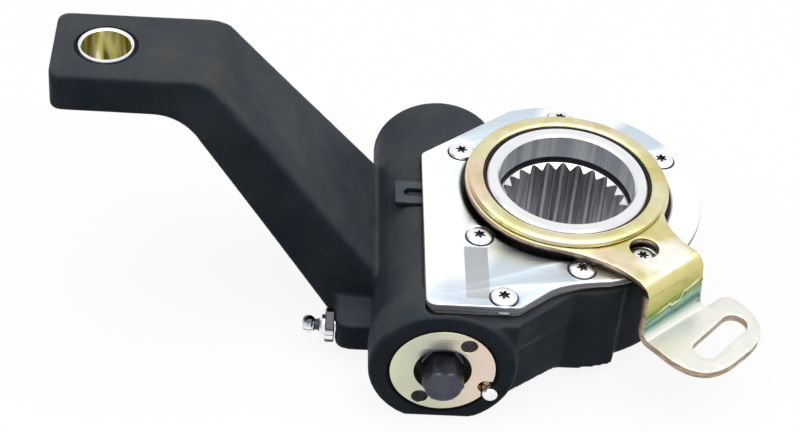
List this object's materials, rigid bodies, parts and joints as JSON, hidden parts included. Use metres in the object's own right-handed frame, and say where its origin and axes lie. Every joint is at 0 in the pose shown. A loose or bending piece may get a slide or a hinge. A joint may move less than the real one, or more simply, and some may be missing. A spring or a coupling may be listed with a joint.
{
  "type": "automatic brake slack adjuster",
  "caption": "Automatic slack adjuster with a bent lever arm, splined worm wheel, worm with adjusting hexagon, and a control arm that drives a rack and one-way clutch.",
  "frame": {"origin": "on the camshaft axis, in the plane of the housing's back face", "axes": "+Z along the camshaft axis towards the cover and control arm; the lever arm points to -X; the worm and its adjusting hexagon lie along Y, the hexagon towards -Y"},
  "size_m": [0.2381, 0.124, 0.0974],
  "materials": {
    "black_paint": "satin",
    "bright_cover": "bright",
    "yellow_zinc": "yellow passivated zinc",
    "bright_zinc": "bright zinc",
    "steel": "machined",
    "spring_steel": "oiled",
    "bronze": "turned",
    "rubber": "matt"
  },
  "bodies": {
    "housing_body": {"housing": "black_paint", "clevis_bushing": "bronze", "cover_plate": "bright_cover", "cover_shim": "steel", "front_end_cap": "yellow_zinc", "cap_oring": "rubber", "cap_lock_pin": "bright_zinc", "rear_end_plug": "yellow_zinc", "grease_nipple": "bright_zinc", "shaft_seal": "rubber", "shaft_bush": "bronze", "hub_seal_back": "rubber", "rack_guide": "steel", "bearing_race_spring_side": "steel", "spring_seat": "steel", "clutch_pressure_spring": "spring_steel", "cover_screw_1": "bright_zinc", "cover_screw_2": "bright_zinc", "cover_screw_3": "bright_zinc", "cover_screw_4": "bright_zinc", "cover_screw_5": "bright_zinc", "cover_screw_6": "bright_zinc", "cover_screw_7": "bright_zinc", "bearing_ball_1": "bright_zinc", "bearing_ball_2": "bright_zinc", "bearing_ball_3": "bright_zinc", "bearing_ball_4": "bright_zinc", "bearing_ball_5": "bright_zinc", "bearing_ball_6": "bright_zinc", "bearing_ball_7": "bright_zinc", "bearing_ball_8": "bright_zinc"},
    "worm_body": {"adjusting_shaft": "steel", "worm_sleeve": "steel", "worm_key": "steel", "bearing_race_worm_side": "steel"},
    "wheel_body": {"worm_wheel": "steel"},
    "control_body": {"control_arm": "yellow_zinc", "control_disc": "steel", "retaining_ring": "yellow_zinc", "hub_seal_front": "rubber"},
    "rack_body": {"rack": "steel"},
    "pinion_body": {"pinion": "steel", "one_way_clutch_spring": "spring_steel"}
  },
  "joints": [
    {"name": "worm_spin", "type": "hinge", "parent": "housing_body", "child": "worm_body", "pos_m": [-0.042, 0, 0.021], "axis": [0, 1, 0], "continuous": true},
    {"name": "wheel_spin", "type": "hinge", "parent": "housing_body", "child": "wheel_body", "pos_m": [0, 0, 0.021], "axis": [0, 0, 1], "continuous": true},
    {"name": "control_arm_swing", "type": "hinge", "parent": "housing_body", "child": "control_body", "pos_m": [0, 0, 0.047], "axis": [0, 0, 1], "range_deg": [-4, 16]},
    {"name": "rack_slide", "type": "slide", "parent": "housing_body", "child": "rack_body", "axis": [1, 0, 0], "range_m": [-0.0026, 0.0102]},
    {"name": "pinion_spin", "type": "hinge", "parent": "housing_body", "child": "pinion_body", "pos_m": [-0.042, -0.0396, 0.021], "axis": [0, 1, 0], "range_deg": [-17.6, 69.5]}
  ],
  "couplings": [
    {"joint": "wheel_spin", "follows": "worm_spin", "ratio": 0.04},
    {"joint": "rack_slide", "follows": "control_arm_swing", "m_per_rad": 0.036},
    {"joint": "pinion_spin", "follows": "control_arm_swing", "ratio": 4.2857}
  ]
}
